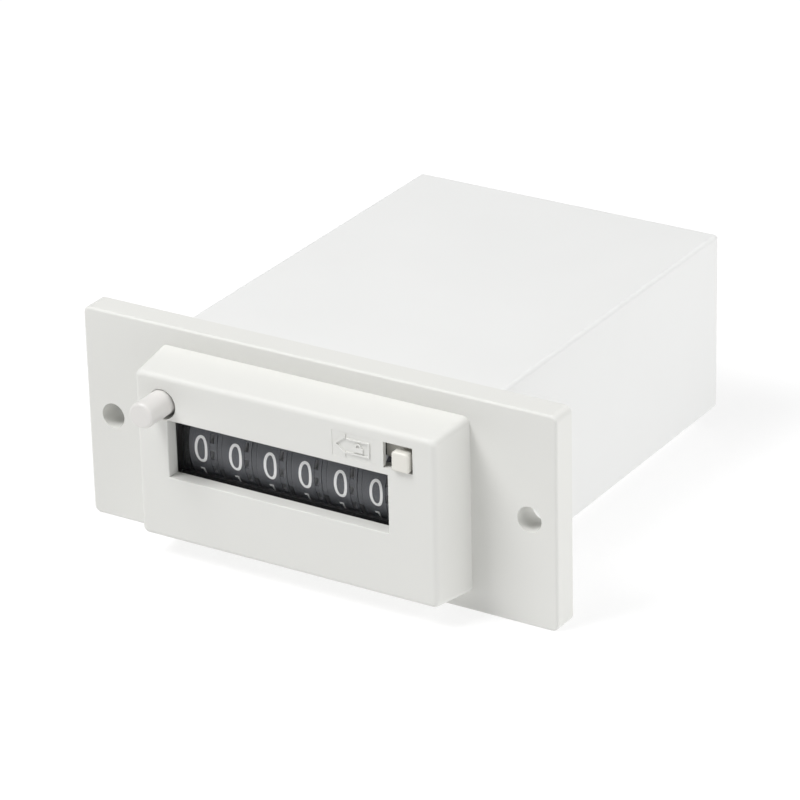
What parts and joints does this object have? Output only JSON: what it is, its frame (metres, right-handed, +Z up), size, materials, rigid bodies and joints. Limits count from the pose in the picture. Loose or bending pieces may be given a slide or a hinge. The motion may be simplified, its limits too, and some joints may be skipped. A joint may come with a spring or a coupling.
{
  "type": "panel-mount pulse counter",
  "caption": "Panel-mount electromechanical row counter with number wheels behind a window, push-button reset and lock slide.",
  "frame": {"origin": "midway between the two flange screw holes, on the rear face of the flange", "axes": "+X along the digit row to the right seen from the front, +Y into the panel, +Z up"},
  "size_m": [0.075, 0.0896, 0.0316],
  "materials": {
    "body_plastic": "fine moulded satin",
    "case_plastic": "fine moulded satin",
    "button_plastic": "smooth",
    "slider_plastic": "fine moulded satin",
    "clear_lens": "clear acrylic",
    "wheel_plastic": "moulded black",
    "pinion_plastic": "natural acetal",
    "chassis_plastic": "moulded black",
    "bobbin_plastic": "moulded dark",
    "terminal_plastic": "moulded black",
    "lead_insulation": "extruded",
    "steel": "ground",
    "plated_steel": "zinc plated",
    "spring_steel": "bright wire",
    "brass": "bright",
    "tin_brass": "tinned",
    "copper_wire": "enamelled wire"
  },
  "bodies": {
    "housing": {"front_frame": "body_plastic", "rear_case": "case_plastic", "window_lens": "clear_lens", "left_side_plate": "chassis_plastic", "right_side_plate": "chassis_plastic", "front_mask": "chassis_plastic", "chassis_base": "chassis_plastic", "wheel_shaft": "steel", "shaft_clips": "spring_steel", "pinion_shaft": "steel", "cross_rod": "steel", "reset_spring": "spring_steel", "yoke": "plated_steel", "core": "steel", "bobbin": "bobbin_plastic", "winding": "copper_wire", "armature_pin": "steel", "armature_spring": "spring_steel", "terminal_block": "terminal_plastic", "terminal_tabs": "tin_brass", "lead_wires": "lead_insulation", "chassis_screws": "plated_steel", "case_screws": "plated_steel"},
    "reset_slide": {"reset_button": "button_plastic", "reset_comb": "wheel_plastic"},
    "lock": {"lock_slider": "slider_plastic", "lock_bar": "chassis_plastic"},
    "armature_assembly": {"armature": "plated_steel", "escapement_lever": "brass", "lever_rivet": "steel"},
    "hundred_thousands_wheel": {"hundred_thousands_wheel": "wheel_plastic"},
    "hundred_thousands_pinion": {"hundred_thousands_pinion": "pinion_plastic"},
    "ten_thousands_wheel": {"ten_thousands_wheel": "wheel_plastic"},
    "ten_thousands_pinion": {"ten_thousands_pinion": "pinion_plastic"},
    "thousands_wheel": {"thousands_wheel": "wheel_plastic"},
    "thousands_pinion": {"thousands_pinion": "pinion_plastic"},
    "hundreds_wheel": {"hundreds_wheel": "wheel_plastic"},
    "hundreds_pinion": {"hundreds_pinion": "pinion_plastic"},
    "tens_wheel": {"tens_wheel": "wheel_plastic"},
    "tens_pinion": {"tens_pinion": "pinion_plastic"},
    "units_wheel": {"units_wheel": "wheel_plastic", "star_wheel": "brass"}
  },
  "joints": [
    {"name": "units_spin", "type": "hinge", "parent": "housing", "child": "units_wheel", "pos_m": [0.0139, -0.0008, 0.0009], "axis": [-1, 0, 0], "continuous": true},
    {"name": "tens_spin", "type": "hinge", "parent": "housing", "child": "tens_wheel", "pos_m": [0.0075, -0.0008, 0.0009], "axis": [-1, 0, 0], "continuous": true},
    {"name": "tens_pinion_spin", "type": "hinge", "parent": "housing", "child": "tens_pinion", "pos_m": [0.0095, 0.0055, -0.0066], "axis": [-1, 0, 0], "continuous": true},
    {"name": "hundreds_spin", "type": "hinge", "parent": "housing", "child": "hundreds_wheel", "pos_m": [0.0019, -0.0008, 0.0009], "axis": [-1, 0, 0], "continuous": true},
    {"name": "hundreds_pinion_spin", "type": "hinge", "parent": "housing", "child": "hundreds_pinion", "pos_m": [0.0039, 0.0055, -0.0066], "axis": [-1, 0, 0], "continuous": true},
    {"name": "thousands_spin", "type": "hinge", "parent": "housing", "child": "thousands_wheel", "pos_m": [-0.0037, -0.0008, 0.0009], "axis": [-1, 0, 0], "continuous": true},
    {"name": "thousands_pinion_spin", "type": "hinge", "parent": "housing", "child": "thousands_pinion", "pos_m": [-0.0017, 0.0055, -0.0066], "axis": [-1, 0, 0], "continuous": true},
    {"name": "ten_thousands_spin", "type": "hinge", "parent": "housing", "child": "ten_thousands_wheel", "pos_m": [-0.0093, -0.0008, 0.0009], "axis": [-1, 0, 0], "continuous": true},
    {"name": "ten_thousands_pinion_spin", "type": "hinge", "parent": "housing", "child": "ten_thousands_pinion", "pos_m": [-0.0073, 0.0055, -0.0066], "axis": [-1, 0, 0], "continuous": true},
    {"name": "hundred_thousands_spin", "type": "hinge", "parent": "housing", "child": "hundred_thousands_wheel", "pos_m": [-0.0149, -0.0008, 0.0009], "axis": [-1, 0, 0], "continuous": true},
    {"name": "hundred_thousands_pinion_spin", "type": "hinge", "parent": "housing", "child": "hundred_thousands_pinion", "pos_m": [-0.0129, 0.0055, -0.0066], "axis": [-1, 0, 0], "continuous": true},
    {"name": "reset_press", "type": "slide", "parent": "housing", "child": "reset_slide", "axis": [0, 1, 0], "range_m": [0, 0.002], "stiffness_N_per_m": 300, "springref_m": -0.002, "deforming": ["reset_spring"]},
    {"name": "lock_slide", "type": "slide", "parent": "housing", "child": "lock", "axis": [1, 0, 0], "range_m": [-0.0015, 0]},
    {"name": "armature_pull", "type": "hinge", "parent": "housing", "child": "armature_assembly", "pos_m": [0, 0.025, -0.0076], "axis": [-1, 0, 0], "range_deg": [0, 4.5], "stiffness_Nm_per_rad": 0.01, "springref_deg": -5.73, "deforming": ["armature_spring"]}
  ],
  "couplings": [
    {"joint": "tens_spin", "follows": "units_spin", "ratio": 0.1},
    {"joint": "tens_pinion_spin", "follows": "units_spin", "ratio": -0.25},
    {"joint": "hundreds_spin", "follows": "units_spin", "ratio": 0.01},
    {"joint": "hundreds_pinion_spin", "follows": "units_spin", "ratio": -0.025},
    {"joint": "thousands_spin", "follows": "units_spin", "ratio": 0.001},
    {"joint": "thousands_pinion_spin", "follows": "units_spin", "ratio": -0.0025},
    {"joint": "ten_thousands_spin", "follows": "units_spin", "ratio": 0.0001},
    {"joint": "ten_thousands_pinion_spin", "follows": "units_spin", "ratio": -0.00025},
    {"joint": "hundred_thousands_spin", "follows": "units_spin", "ratio": 0.00001},
    {"joint": "hundred_thousands_pinion_spin", "follows": "units_spin", "ratio": -0.000025}
  ]
}
